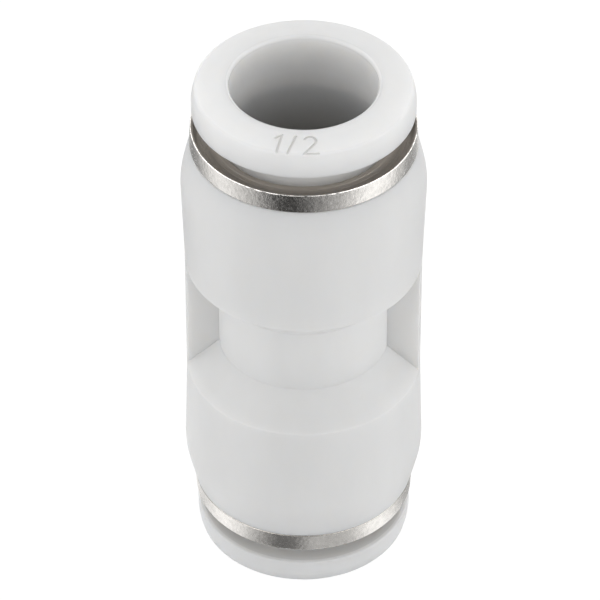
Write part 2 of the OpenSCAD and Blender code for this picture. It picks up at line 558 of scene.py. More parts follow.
    def surface(self, **values: float) -> bpy.types.Node:
        """Adds the surface shader, joined to the output.

        Args:
            values: Plain values of its sockets, with underscores for spaces.

        Returns:
            The shader node.
        """
        node = self.add("ShaderNodeBsdfPrincipled")
        for key, value in values.items():
            node.inputs[key.replace("_", " ")].default_value = value
        self.show(node.outputs[0])
        return node

    def glow(self, strength: float, colour: Socket | None = None) -> Socket:
        """Adds an emission.

        Args:
            strength: Its strength.
            colour: Its colour, or none for white.

        Returns:
            The shader.
        """
        node = self.add("ShaderNodeEmission")
        node.inputs["Strength"].default_value = strength
        if colour is not None:
            self.link(colour, node.inputs["Color"])
        return node.outputs[0]

    def blend(self, share: Socket, first: Socket, second: Socket) -> Socket:
        """Mixes two shaders.

        Args:
            share: The share of the second shader.
            first: The first shader.
            second: The second shader.

        Returns:
            The mixed shader.
        """
        node = self.add("ShaderNodeMixShader")
        for source, target in zip((share, first, second), node.inputs):
            self.link(source, target)
        return node.outputs[0]

    def seen_white(self) -> Socket:
        """Finds the camera, glossy and transmission rays, which meet the white background.

        Returns:
            1 for those rays and 0 for others.
        """
        rays = self.add("ShaderNodeLightPath").outputs
        most = self.math("MAXIMUM", rays["Is Camera Ray"], rays["Is Glossy Ray"])
        return self.math("MAXIMUM", most, rays["Is Transmission Ray"])


def scaled(colour: Colour, factor: float) -> Colour:
    """Returns a colour made lighter or darker by a factor."""
    return tuple(min(1.0, c * factor) for c in colour)


@dataclass(frozen=True)
class MouldedPlastic:
    """Satin moulded plastic with a fine grain, soft flow clouds and a rare speck, and, where set,
    painted shade and painted light by place.

    Sizes and depths are millimetres. Heights count from the fitting's middle, radii from its axis.
    """

    name: str
    colour: Colour
    roughness: float = 0.42
    uneven: float = 0.035
    patch: float = 2.2
    grain: float = 0.09
    grain_depth: float = 0.0022
    wave: float = 3.2
    wave_depth: float = 0.010
    cloud: float = 0.018
    cloud_size: float = 5.0
    cloud_flow: float = 0.35
    speck_share: float = 0.035
    speck_gap: float = 2.6
    speck_edge: Spot = (0.02, 0.035)
    speck_tone: float = 0.62
    milkiness: float = 0.25
    milk_depth: float = 0.8
    milk_spread: Colour = (1.0, 0.94, 0.86)
    # Painted shade deep in the bore, partly for the dark metal behind the stem's wall
    bore_shade_over_metal: Colour | None = None
    bore_shade_span: Spot = (13.5, 21.5)
    bore_shade_r: float = 7.0
    mouth: Spot | None = None
    mouth_soft: float = 0.06
    mouth_roughness: float = 0.16
    # Painted shade in the grooves of the size mark
    mark: tuple[Spot, Spot] | None = None
    mark_below: Spot = (0.02, 0.08)
    mark_margin: Spot = (0.2, 0.1)
    mark_shade: float = 0.85
    # Painted light on the stem below the flange, where the flange shades it
    lit: Colour | None = None
    stem_light_span: Spot = (20.0, 22.2)
    stem_light_ring: Spot = (7.0, 7.6)
    stem_light_top: float = 22.5
    # Painted shade on the webs: the share of the colour that they keep, and the box that holds them
    web_shade: float = 1.0
    web_shade_box: Spot = (1.25, 6.0)
    fade: float = 0.1

    def material(self) -> bpy.types.Material:
        """Builds the material and returns it."""
        s = Shader(self.name)
        shader = s.surface(IOR=1.47, Specular_IOR_Level=0.5, Subsurface_Weight=self.milkiness,
                           Subsurface_Scale=self.milk_depth * MM)
        shader.inputs["Subsurface Radius"].default_value = self.milk_spread
        flow = s.mapped((1, 1, self.cloud_flow))
        cloud = s.noise(self.cloud_size, detail=3.0, rough=0.55, place=flow)
        dark, light = scaled(self.colour, 1 - self.cloud), scaled(self.colour, 1 + self.cloud)
        colour = s.tint(s.spread(cloud, NOISE_SPAN), dark, light)
        # Besides the specks, these changes paint shade in the mark, on the webs and deep in the
        # bore, and paint light under the flange
        for change in (self.speckled, self.shade_in_the_mark, self.shade_on_the_webs,
                       self.shade_and_metal_in_bore, self.painted_light_under_flange):
            colour = change(s, colour)
        s.link(colour, shader.inputs["Base Color"])
        satin = s.spread(s.noise(self.patch, detail=2.0), NOISE_SPAN,
                         (self.roughness - self.uneven, self.roughness + self.uneven))
        s.link(self.rubbed(s, satin), shader.inputs["Roughness"])
        broad = s.bump(s.noise(self.wave, detail=1.0), self.wave_depth)
        fine = s.bump(s.noise(self.grain, detail=3.0, rough=0.6), self.grain_depth, broad)
        s.link(fine, shader.inputs["Normal"])
        return s.owner

    def speckled(self, s: Shader, colour: Socket) -> Socket:
        """Adds a few darker specks.

        Args:
            s: The material being built.
            colour: The plastic's colour.

        Returns:
            The colour with the specks in it.
        """
        cell = s.add("ShaderNodeTexVoronoi", feature="F1")
        cell.inputs["Scale"].default_value = 1 / (self.speck_gap * MM)
        s.link(s.place, cell.inputs["Vector"])
        near = s.spread(cell.outputs["Distance"], self.speck_edge, (1, 0))
        draw = s.add("ShaderNodeSeparateColor")
        s.link(cell.outputs["Color"], draw.inputs[0])
        chosen = s.math("LESS_THAN", draw.outputs[0], self.speck_share)
        return s.tint(s.both(near, chosen), colour, scaled(self.colour, self.speck_tone))

    def rubbed(self, s: Shader, roughness: Socket) -> Socket:
        """Polishes the edge of the mouth, which tubes have rubbed.

        Args:
            s: The material being built.
            roughness: The satin roughness elsewhere.

        Returns:
            The roughness, as it was where the plastic has no mouth.
        """
        if self.mouth is None:
            return roughness
        radius, low = self.mouth
        above = s.spread(s.height, (low, low + self.fade), unit=MM)
        mix = s.add("ShaderNodeMix", data_type="FLOAT")
        s.link(s.both(s.within(radius, self.mouth_soft), above), mix.inputs[0])
        s.link(roughness, mix.inputs[2])
        mix.inputs[3].default_value = self.mouth_roughness
        return mix.outputs[0]

    def shade_in_the_mark(self, s: Shader, colour: Socket) -> Socket:
        """Paints shade on the floor and walls of the size mark, which lie just below the flange's
        face.

        Args:
            s: The material being built.
            colour: The plastic's colour.

        Returns:
            The colour, as it was where the plastic has no mark.
        """
        if self.mark is None:
            return colour
        (inner_r, inner_z), (outer_r, outer_z) = self.mark
        face = s.spread(s.radius, (inner_r, outer_r), (inner_z * MM, outer_z * MM), MM)
        below = s.spread(s.math("SUBTRACT", face, s.height), self.mark_below, unit=MM)
        ring = s.math("SUBTRACT", s.within(outer_r - self.mark_margin[1]),
                      s.within(inner_r - self.mark_margin[0]))
        return s.tint(s.both(below, ring), colour, scaled(self.colour, self.mark_shade))

    def shade_on_the_webs(self, s: Shader, colour: Socket) -> Socket:
        """Paints shade on the webs, so that they are a little darker than the rest of the body.

        Args:
            s: The material being built.
            colour: The plastic's colour.

        Returns:
            The colour, as it was away from the webs.
        """
        if self.web_shade == 1.0:
            return colour
        half, high = self.web_shade_box
        aside = s.spread(s.math("ABSOLUTE", s.part("Y")), (half, half + SOFT), (1, 0), MM)
        low = s.spread(s.height, (high, high + SOFT), (1, 0), MM)
        return s.tint(s.both(aside, low), colour, (self.web_shade, self.web_shade, self.web_shade), "MULTIPLY")

    def shade_and_metal_in_bore(self, s: Shader, colour: Socket) -> Socket:
        """Paints shade on the stem's wall deep in the fitting, darker further in; partly it stands
        for the dark metal that lies behind the wall.

        Args:
            s: The material being built.
            colour: The plastic's colour.

        Returns:
            The colour, as it was where the plastic has no painted shade in the bore.
        """
        if self.bore_shade_over_metal is None:
            return colour
        deep = s.spread(s.height, self.bore_shade_span, (1, 0), MM)
        return s.tint(s.both(deep, s.within(self.bore_shade_r)), colour, self.bore_shade_over_metal)

    def painted_light_under_flange(self, s: Shader, colour: Socket) -> Socket:
        """Paints light on the outside of the stem below the flange, where the flange shades it.

        Args:
            s: The material being built.
            colour: The plastic's colour.

        Returns:
            The colour, as it was where the plastic has no painted light.
        """
        if self.lit is None:
            return colour
        inner, outer = self.stem_light_ring
        ring = s.math("SUBTRACT", s.within(outer), s.within(inner))
        rising = s.spread(s.height, self.stem_light_span, unit=MM)
        ending = s.spread(s.height, (self.stem_light_top, self.stem_light_top + self.fade), (1, 0), MM)
        return s.tint(s.both(ring, s.both(rising, ending)), colour, self.lit)


@dataclass(frozen=True)
class NickelPlate:
    """Bright nickel on lightly hammered metal, dull in the cup with painted shade and a painted
    reflection there, and with a painted shadow where it meets the body.
    """

    name: str = "nickel_plate"
    colour: Colour = (0.90, 0.875, 0.84)
    shadow: Colour = (0.80, 0.775, 0.74)
    tone_patch: float = 0.55
    tone_span: Spot = (0.32, 0.62)
    rough_patch: float = 0.28
    roughness: Spot = (0.14, 0.30)
    dimple: float = 0.30
    dimple_depth: float = 0.036
    grain: float = 0.07
    grain_depth: float = 0.010
    # The cup: partly a duller plating, partly painted shade under the flange; dull_r also reaches
    # over most of the rim's top, as painted shade over its highlight
    dull: Colour = (0.345, 0.316, 0.284)
    dull_r: float = 9.78
    dull_roughness: float = 0.48
    # Painted reflection of the stem's light on the cup floor near the stem, and painted shade
    # towards the rim
    stem_side: Spot = (8.3, 0.3)
    stem_painted_reflection: float = 1.30
    rim_painted_shade: float = 0.76
    # Painted shadow in the hairline joint with the body: its colour and heights
    joint: Colour = (0.44, 0.42, 0.39)
    joint_shadow_z: Spot = (18.90, 18.97)

    def material(self) -> bpy.types.Material:
        """Builds the material and returns it."""
        s = Shader(self.name)
        shader = s.surface(Metallic=1.0)
        tone = s.spread(s.noise(self.tone_patch, detail=3.0, rough=0.6), self.tone_span)
        # Dull cup colour, partly painted shade, lighter near the stem as a painted reflection and
        # darker near the rim as painted shade
        inside = s.within(self.dull_r)
        rim, stem = scaled(self.dull, self.rim_painted_shade), scaled(self.dull, self.stem_painted_reflection)
        cup = s.tint(s.within(*self.stem_side), rim, stem)
        plate = s.tint(inside, s.tint(tone, self.shadow, self.colour), cup)
        # Painted shadow in the joint with the body
        line = s.spread(s.height, self.joint_shadow_z, (1, 0), MM)
        s.link(s.tint(line, plate, self.joint), shader.inputs["Base Color"])
        patch = s.noise(self.rough_patch, detail=3.0, rough=0.6)
        bright = s.spread(patch, NOISE_SPAN, self.roughness)
        dull = s.spread(inside, (0, 1), (0, self.dull_roughness))
        s.link(s.math("MAXIMUM", bright, dull), shader.inputs["Roughness"])
        hammer = s.bump(s.noise(self.dimple, detail=2.0, rough=0.55), self.dimple_depth)
        grain = s.bump(s.noise(self.grain, detail=3.0, rough=0.6), self.grain_depth, hammer)
        s.link(grain, shader.inputs["Normal"])
        return s.owner


@dataclass(frozen=True)
class SpringSteel:
    """Stamped stainless sheet with fine rolling marks."""

    name: str = "spring_steel"
    colour: Colour = (0.62, 0.63, 0.64)
    tones: Spot = (0.9, 1.08)
    roughness: Spot = (0.22, 0.38)
    rolled: float = 12
    line: float = 1.4
    line_depth: float = 0.004

    def material(self) -> bpy.types.Material:
        """Builds the material and returns it."""
        s = Shader(self.name)
        shader = s.surface(Metallic=1.0)
        rolled = s.mapped((1, self.rolled, 1))
        line = s.noise(self.line, detail=4.0, rough=0.6, place=rolled)
        dark, light = (scaled(self.colour, tone) for tone in self.tones)
        s.link(s.tint(s.spread(line, NOISE_SPAN), dark, light), shader.inputs["Base Color"])
        s.link(s.spread(line, NOISE_SPAN, self.roughness), shader.inputs["Roughness"])
        s.link(s.bump(line, self.line_depth), shader.inputs["Normal"])
        return s.owner


@dataclass(frozen=True)
class SealRubber:
    """Black moulded rubber with a dull bloom."""

    name: str = "seal_rubber"
    colour: Colour = (0.016, 0.016, 0.017)
    bloom: float = 1.1
    bloom_span: Spot = (0.35, 0.7)
    bloom_tone: float = 1.9
    roughness: Spot = (0.5, 0.68)
    grain: float = 0.12
    grain_depth: float = 0.004

    def material(self) -> bpy.types.Material:
        """Builds the material and returns it."""
        s = Shader(self.name)
        shader = s.surface(IOR=1.5)
        bloom = s.noise(self.bloom, detail=4.0, rough=0.6)
        pale = scaled(self.colour, self.bloom_tone)
        tone = s.tint(s.spread(bloom, self.bloom_span), self.colour, pale)
        s.link(tone, shader.inputs["Base Color"])
        s.link(s.spread(bloom, NOISE_SPAN, self.roughness), shader.inputs["Roughness"])
        s.link(s.bump(s.noise(self.grain, detail=3.0), self.grain_depth), shader.inputs["Normal"])
        return s.owner


Finish = MouldedPlastic | NickelPlate | SpringSteel | SealRubber


@dataclass(frozen=True)
class Dress:
    """A material of the scene and the record's slot that it stands for."""

    material: bpy.types.Material
    slot: str

    @classmethod
    def of(cls, finish: Finish) -> "Dress":
        """Builds a finish's material, whose name is also that of its slot."""
        return cls(finish.material(), finish.name)

    def put_on(self, piece: Piece, body: str, *nodes: str) -> None:
        """Gives a new piece its material and the body that it rides on.

        Args:
            piece: The piece.
            body: The CAD body that carries it.
            nodes: CAD nodes that the piece stands for.
        """
        piece.data.materials.clear()
        piece.data.materials.append(self.material)
        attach(piece, body)
        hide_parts(*nodes)
        log.info("%s: %d faces, rides on %s", piece.name, len(piece.data.polygons), body)

    def repaint(self, *nodes: str) -> None:
        """Gives CAD nodes this material.

        Args:
            nodes: The nodes' names.
        """
        for name in nodes:
            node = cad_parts[name]
            node.data.materials.clear()
            node.data.materials.append(self.material)
            log.info("%s: repainted", name)


# Pieces


@dataclass
class Body:
    """The moulded body: two drums joined by a neck, with a web on each side."""

    end_z: float = 18.84
    end_r: float = 9.94
    shoulder_z: float = 15.30
    drum_r: float = 10.78
    waist_z: float = 6.06
    waist_r: float = 10.49
    neck_z: float = 3.22
    neck_r: float = 7.60
    cavity_r: float = 9.10
    seat_z: float = 6.38
    socket_r: float = 6.42
    lead: float = 0.45
    stop_z: float = 1.20
    passage_r: float = 5.10
    edge: float = 0.15
    shoulder_round: float = 7.0
    web_t: float = 2.4
    web_r: float = 10.47
    web_fillet: float = 0.25
    web_root: float = 6.95
    web_reach: float = 0.4
    stop_round: float = 0.1
    gate_r: float = 0.95
    gate_depth: float = 0.30
    pit_cap: float = 0.008
    pit_depth: float = 0.12
    gate_y: float = -0.7
    gate_z: float = -0.4

    def section(self) -> list[Corner]:
        """Returns the body's section, down the outside and up the inside."""
        outside = [
            (self.end_r, self.end_z, self.edge),
            (self.drum_r, self.shoulder_z, self.shoulder_round),
            (self.waist_r, self.waist_z, self.edge),
            (self.neck_r, self.neck_z, self.edge),
        ]
        inside = [
            (self.cavity_r, self.end_z, 0),
            (self.cavity_r, self.seat_z, 0),
            (self.socket_r + self.lead, self.seat_z, 0),
            (self.socket_r, self.seat_z - self.lead, 0),
            (self.socket_r, self.stop_z, 0),
            (self.passage_r, self.stop_z, self.stop_round),
        ]
        mirrored = [(r, -z, f) for r, z, f in reversed(outside)]
        back = [(r, -z, f) for r, z, f in inside]
        return outside + mirrored + back + list(reversed(inside))

    def web(self, side: int) -> Piece:
        """Builds one flat web with its two outer corners rounded.

        Args:
            side: 1 for the +X web and -1 for the other.

        Returns:
            The web, which reaches into the wall of the neck and the drums.
        """
        reach = sorted((side * self.web_root, side * self.web_r))
        top = self.waist_z + self.web_reach
        web = block("web", (reach[0], -self.web_t / 2, -top), (reach[1], self.web_t / 2, top))
        with edit(web):
            pick(web, "EDGE", lambda c: all(abs(v.x - side * self.web_r * MM) < NEAR for v in c)
                 and abs(c[0].z - c[1].z) > top * MM)
            round_off(self.web_fillet * MM, steps=6)
        return web

    def gate(self) -> Piece:
        """Builds the cutter of the gate's dimple, a shallow ball, and of the runner's small pit.

        Returns:
            The cutter, with its pole inward.
        """
        put_down()
        ball_r = (self.gate_r ** 2 + self.gate_depth ** 2) / (2 * self.gate_depth)
        centre = (self.web_r - self.gate_depth + ball_r) * MM
        bpy.ops.mesh.primitive_uv_sphere_add(
            segments=96, ring_count=48, radius=ball_r * MM,
            location=(centre, self.gate_y * MM, self.gate_z * MM), rotation=(0, -math.pi / 2, 0))
        ball = settle(rename(bpy.context.object, "gate"))
        inmost = (self.web_r - self.gate_depth) * MM
        with edit(ball, "FACE"):
            pick(ball, "FACE", lambda c: min(v.x for v in c) < inmost + self.pit_cap * MM)
            inward = (-self.pit_depth * MM, 0, 0)
            bpy.ops.mesh.extrude_region_move(TRANSFORM_OT_translate={"value": inward})
        return ball

    def build(self, dress: Dress) -> None:
        """Turns the body, adds the webs, cuts the gate's dimple, and dresses it.

        Args:
            dress: The body's plastic.
        """
        body = turned("union_body", self.section())
        for side in (1, -1):
            join_tool(body, self.web(side), Join.FUSE)
        join_tool(body, self.gate(), Join.CUT)
        smooth(body)
        dress.put_on(body, "fitting", "body")


@dataclass
class SizeMark:
    """The tube size, cut lightly into the flange's face, digit by digit along a circle."""

    radius: float = 8.45
    face_z: float = 25.02
    tilt: float = 11.0
    depth: float = 0.15
    stroke: float = 0.24
    stroke_end: float = 0.42
    above: float = 0.6
    apart: float = 0.006
    sliver: float = 0.02
    angles: tuple[float, float, float] = (-11.4, -4.0, 6.7)

    def bar(self, start: Spot, end: Spot, deeper: float = 0.0) -> Piece:
        """Builds the cutter of a straight stroke, flat on the drawing plane.

        Args:
            start: Where the stroke starts, in millimetres.
            end: Where it ends.
            deeper: How far it goes below the mark's depth, so that no two strokes share a floor.

        Returns:
            The cutter.
        """
        run = Vector((end[0] - start[0], end[1] - start[1]))
        half, wide = (run.length + self.stroke) / 2, self.stroke / 2
        tool = block("bar", (-half, -wide, -self.depth - deeper), (half, wide, self.above + deeper))
        with edit(tool):
            pick(tool, "EDGE", lambda c: abs(c[0].z - c[1].z) > self.above / 2 * MM)
            round_off(self.stroke * self.stroke_end * MM, steps=3)
        tool.rotation_euler.z = math.atan2(run.y, run.x)
        tool.location = ((start[0] + end[0]) / 2 * MM, (start[1] + end[1]) / 2 * MM, 0)
        return settle(tool)

    def bow(self, centre: Spot, radius: float, first: float, sweep: float) -> Piece:
        """Builds the cutter of a curved stroke by spinning its end face.

        Args:
            centre: The curve's centre in millimetres.
            radius: Its radius.
            first: Where it starts, in degrees from +X.
            sweep: How far it goes, in degrees.

        Returns:
            The cutter.
        """
        inner, outer = radius - self.stroke / 2, radius + self.stroke / 2
        tool = block("bow", (inner, -self.sliver, -self.depth), (outer, 0, self.above))
        with edit(tool, "FACE"):
            pick(tool, "FACE", lambda c: all(abs(v.y) < NEAR / 10 for v in c))
            bpy.ops.mesh.spin(
                steps=14, angle=math.radians(-sweep), center=(0, 0, 0), axis=(0, 0, 1))
            bpy.ops.mesh.select_all(action="SELECT")
            bpy.ops.mesh.remove_doubles(threshold=1e-7)
            bpy.ops.mesh.normals_make_consistent(inside=False)
        tool.rotation_euler.z = math.radians(first)
        tool.location = (centre[0] * MM, centre[1] * MM, 0)
        return settle(tool)

    def glyphs(self) -> list[list[Piece]]:
        """Returns the cutters of each glyph, drawn about the drawing plane's origin."""
        one = [
            self.bar((0.02, 0.95), (0.02, -0.95)),
            self.bar((-0.02, 0.92), (-0.42, 0.55), self.apart),
        ]
        slash = [self.bar((0.24, 0.94), (-0.24, -0.94))]
        two = [
            self.bow((0.0, 0.42), 0.50, -28, 188),
            self.bar((0.43, 0.17), (-0.54, -0.86), self.apart),
            self.bar((-0.60, -0.95), (0.62, -0.95), 2 * self.apart),
        ]
        return [one, slash, two]

    def engrave(self, button: Piece) -> None:
        """Cuts the mark into a button's face.

        Args:
            button: The release button of the top end.
        """
        for strokes, angle in zip(self.glyphs(), self.angles):
            lie = (Matrix.Rotation(math.radians(angle), 4, "Z")
                   @ Matrix.Translation((0, -self.radius * MM, self.face_z * MM))
                   @ Matrix.Rotation(math.radians(self.tilt), 4, "X"))
            for stroke in strokes:
                stroke.matrix_world = lie
                settle(stroke)
                join_tool(button, stroke, Join.CUT)


@dataclass
class ReleaseButton:
    """Flanged sleeve with spring fingers, hooks and a nose that opens the claw."""

    bore_r: float = 6.45
    stem_r: float = 7.45
    hook_r: float = 8.05
    flange_r: float = 9.71
    top_z: float = 25.25
    flange_z: float = 22.41
    face_flat: float = 0.9
    face_edge_z: float = 24.85
    edge_width: float = 0.28
    edge_height: float = 1.1
    step_z: float = 16.23
    hook_mid_z: float = 15.505
    hook_z: float = 14.78
    nose_stem_z: float = 12.566
    nose_z: float = 12.019
    nose_r: float = 6.75
    nose_round: float = 0.05
    edge: float = 0.15
    crown_round: float = 3.0
    face_round: float = 0.35
    mouth_round: float = 0.3
    fingers: int = 4
    slit: float = 0.9
    slit_z: float = 16.48
    slit_low: float = 10.5
    slit_span: Spot = (5.6, 8.9)
    slit_end: float = 0.98
    mark: SizeMark = field(default_factory=SizeMark)

    def section(self) -> list[Corner]:
        """Returns the button's section, up the outside and down the bore."""
        return [
            (self.nose_r, self.nose_z, self.nose_round),
            (self.stem_r, self.nose_stem_z, self.nose_round),
            (self.stem_r, self.hook_z, 0),
            (self.hook_r, self.hook_mid_z, 0),
            (self.hook_r, self.step_z, 0),
            (self.stem_r, self.step_z, 0),
            (self.stem_r, self.flange_z, self.edge),
            (self.flange_r, self.flange_z, self.edge),
            (self.flange_r, self.face_edge_z - self.edge_height, self.crown_round),
            (self.flange_r - self.edge_width, self.face_edge_z, self.face_round),
            (self.bore_r + self.face_flat, self.top_z, 0),
            (self.bore_r, self.top_z, self.mouth_round),
            (self.bore_r, self.nose_z, self.nose_round),
        ]

    def slit_cutter(self, angle: float) -> Piece:
        """Builds the cutter of one slit between two fingers.

        Args:
            angle: The slit's place round the axis, in degrees.

        Returns:
            The cutter, a bar with a round end.
        """
        half = self.slit / 2
        inner, outer = self.slit_span
        tool = block("slit", (inner, -half, self.slit_low), (outer, half, self.slit_z + half))
        with edit(tool):
            top = (self.slit_z + half) * MM
            pick(tool, "EDGE", lambda c: all(abs(v.z - top) < NEAR for v in c)
                 and abs(c[0].x - c[1].x) > MM)
            round_off(half * self.slit_end * MM, steps=6)
        tool.rotation_euler.z = math.radians(angle)
        return settle(tool)

    def build(self, dress: Dress) -> None:
        """Builds the top button, copies it for the bottom and dresses both.

        Args:
            dress: The buttons' plastic.
        """
        top = turned("top_button_piece", self.section(), steps=5)
        for i in range(self.fingers):
            join_tool(top, self.slit_cutter((i + 0.5) * 360 / self.fingers), Join.CUT)
        self.mark.engrave(top)
        smooth(top)
        bottom = flipped(top, "bottom_button_piece")
        dress.put_on(top, End.TOP.button, "top_release_button")
        dress.put_on(bottom, End.BOTTOM.button, "bottom_release_button")


@dataclass
class GuideCollar:
    """Plated collar with a shallow cup, pressed into the body round the button's stem."""

    end_z: float = 18.84
    end_r: float = 9.94
    rim_r: float = 9.85
    rim_z: float = 20.64
    rim_t: float = 0.30
    floor_z: float = 19.88
    guide_r: float = 7.50
    step_z: float = 16.28
    room_r: float = 8.30
    sleeve_r: float = 9.05
    claw_z: float = 12.98
    lead: float = 0.15
    grooves: int = 3
    groove: float = 0.025
    below_rim: float = 0.14
    rim_round: float = 0.075
    cup_round: float = 0.15
    foot_round: float = 0.10
    uneven: float = 0.011
    uneven_below: float = 0.09
    smooth_below: float = 0.12
    barb_r: float = 9.18
    barb_pitch: float = 1.4

    def section(self) -> list[Corner]:
        """Returns the collar's section: the rim, the cup, down the bore and up the sleeve."""
        cup_r = self.rim_r - self.rim_t
        corners = [
            (self.rim_r, self.rim_z, self.rim_round),
            (cup_r, self.rim_z, self.rim_round),
            (cup_r, self.floor_z, self.cup_round),
        ]
        outer, inner = cup_r - self.lead, self.guide_r + self.lead
        pitch = (outer - inner) / (self.grooves + 1)
        for i in range(1, self.grooves + 1):
            r = outer - i * pitch
            corners += [
                (r + self.groove, self.floor_z, 0),
                (r, self.floor_z - self.groove, 0),
                (r - self.groove, self.floor_z, 0),
            ]
        corners += [
            (inner, self.floor_z, 0),
            (self.guide_r, self.floor_z - self.lead, 0),
            (self.guide_r, self.step_z, 0),
            (self.room_r, self.step_z, 0),
            (self.room_r, self.claw_z, 0),
            (self.sleeve_r - self.lead, self.claw_z, 0),
            (self.sleeve_r, self.claw_z + self.lead, 0),
        ]
        for i in (1, 0):
            z = self.step_z - i * self.barb_pitch
            corners += [
                (self.sleeve_r, z - self.barb_pitch / 2, 0),
                (self.barb_r, z, 0),
                (self.sleeve_r, z, 0),
            ]
        below = self.rim_z - self.below_rim
        taper = (self.end_r - self.rim_r) * (below - self.end_z) / (self.rim_z - self.end_z)
        return corners + [
            (self.sleeve_r, self.end_z, 0),
            (self.end_r, self.end_z, self.foot_round),
            (self.end_r - taper, below, 0),
        ]

    def build(self, dress: Dress) -> None:
        """Builds the top collar, makes its rim a little uneven, copies it and dresses both.

        Args:
            dress: The nickel plate.
        """
        top = turned("top_collar_piece", self.section(), segments=480, steps=3)
        with edit(top):
            pick(top, "EDGE", lambda c: all(v.z > (self.rim_z - self.uneven_below) * MM for v in c))
            bpy.ops.transform.vertex_random(
                offset=self.uneven * MM, uniform=0.3, normal=0.7, seed=7)
            pick(top, "EDGE", lambda c: all(v.z > (self.rim_z - self.smooth_below) * MM for v in c))
            bpy.ops.mesh.vertices_smooth(factor=0.35, repeat=1)
        smooth(top, angle=40)
        bottom = flipped(top, "bottom_collar_piece")
        dress.put_on(top, "fitting", "top_guide_collar")
        dress.put_on(bottom, "fitting", "bottom_guide_collar")


@dataclass
class LockClaw:
    """Stamped ring whose sloping teeth let the tube in and bite when it is pulled."""

    rim_r: float = 9.05
    root_r: float = 8.30
    tip_r: float = 6.20
    top_z: float = 12.98
    thickness: float = 0.30
    slope: float = 38.0
    teeth: int = 14
    edge: float = 0.03
    slot: float = 0.6
    slot_start: float = 5.4
    slot_below: float = 3.2
    slot_above: float = 0.8
    slot_inset: float = 0.1
    relief_r: float = 0.42
    relief_past: float = 0.02
    keep: float = 0.38

    def slot_cutter(self, angle: float) -> Piece:
        """Builds the cutter of one slot, a bar that ends in a round relief hole.

        Args:
            angle: The slot's place round the axis, in degrees.

        Returns:
            The cutter.
        """
        low, high = self.top_z - self.slot_below, self.top_z + self.slot_above
        end, half = self.root_r - self.relief_r, self.slot / 2
        put_down()
        bpy.ops.mesh.primitive_cylinder_add(
            vertices=32, radius=self.relief_r * MM, depth=(high - low) * MM,
            location=((end + self.relief_past) * MM, 0, (low + high) / 2 * MM))
        hole = settle(rename(bpy.context.object, "relief"))
        start, stop = low + self.slot_inset, high - self.slot_inset
        join_tool(hole, block("bar", (self.slot_start, -half, start), (end, half, stop)), Join.FUSE)
        hole.rotation_euler.z = math.radians(angle)
        return settle(hole)

    def toothed_cone(self) -> list[Piece]:
        """Turns the cone of teeth and cuts its slots.

        Returns:
            The separate teeth, in order round the axis.
        """
        rise = math.tan(math.radians(self.slope))
        drop = self.thickness / math.cos(math.radians(self.slope))
        tip_z = self.top_z - (self.root_r - self.tip_r) * rise
        cone = turned("claw_tooth", [
            (self.root_r, self.top_z, 0),
            (self.root_r, self.top_z - drop, 0),
            (self.tip_r, tip_z - drop, self.edge),
            (self.tip_r, tip_z, self.edge),
        ])
        step = 360 / self.teeth
        for i in range(self.teeth):
            join_tool(cone, self.slot_cutter((i + 0.5) * step), Join.CUT)
        with edit(cone):
            bpy.ops.mesh.select_all(action="SELECT")
            bpy.ops.mesh.separate(type="LOOSE")
        found = list(bpy.context.selected_objects)
        return sorted(found, key=lambda t: round(self.place(t) % 360, 1))

    def place(self, tooth: Piece) -> float:
        """Returns a tooth's place round the axis, in degrees."""
        middle = sum((v.co for v in tooth.data.vertices), Vector()) / len(tooth.data.vertices)
        return math.degrees(math.atan2(middle.y, middle.x))

    def build(self, dress: Dress) -> None:
        """Builds the rim and teeth of the top claw, copies them for the bottom and dresses all.

        Args:
            dress: The spring steel.
        """
        low = self.top_z - self.thickness
        rim = turned("top_claw_rim", [
            (self.rim_r, self.top_z, self.edge),
            (self.root_r, self.top_z, 0),
            (self.root_r, low, 0),
            (self.rim_r, low, self.edge),
        ])
        smooth(rim)
        rims = {End.TOP: rim, End.BOTTOM: flipped(rim, "bottom_claw_rim")}
        teeth = [smooth(t) for t in self.toothed_cone()]
        for end in End:
            dress.put_on(rims[end], "fitting", f"{end.value}_lock_claw")
            for i, tooth in enumerate(teeth):
                name = f"{end.value}_claw_tooth_{i + 1:02d}"
                piece = rename(tooth, name) if end is End.TOP else flipped(tooth, name)
                around = math.radians(self.place(piece))
                dress.put_on(piece, "fitting", f"{end.value}_lock_claw")
                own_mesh(piece)


# Studio


@dataclass(frozen=True)
class Softbox:
    """A square soft lamp that points at the fitting. Its distance and side are metres."""

    name: str
    azimuth: float
    elevation: float
    distance: float
    side: float
    share: float

    def place(self) -> None:
        """Adds the lamp. Its share of 1 lights a facing white surface to white."""
        a, e = math.radians(self.azimuth), math.radians(self.elevation)
        back = Vector((math.sin(a) * math.cos(e), -math.cos(a) * math.cos(e), math.sin(e)))
        data = bpy.data.lights.new(self.name, "AREA")
        data.size = self.side
        data.energy = math.pi ** 2 * self.distance ** 2 * self.share
        lamp = bpy.data.objects.new(self.name, data)
        bpy.context.scene.collection.objects.link(lamp)
        lamp.location = back * self.distance
        lamp.rotation_euler = back.to_track_quat("Z", "Y").to_euler()


def mirrored_only(card: Piece) -> None:
    """Hides an object from all but the plate and the gloss, which mirror it.

    Args:
        card: The object.
    """
    card.visible_camera = False
    card.visible_diffuse = False
    card.visible_transmission = False
    card.visible_shadow = False


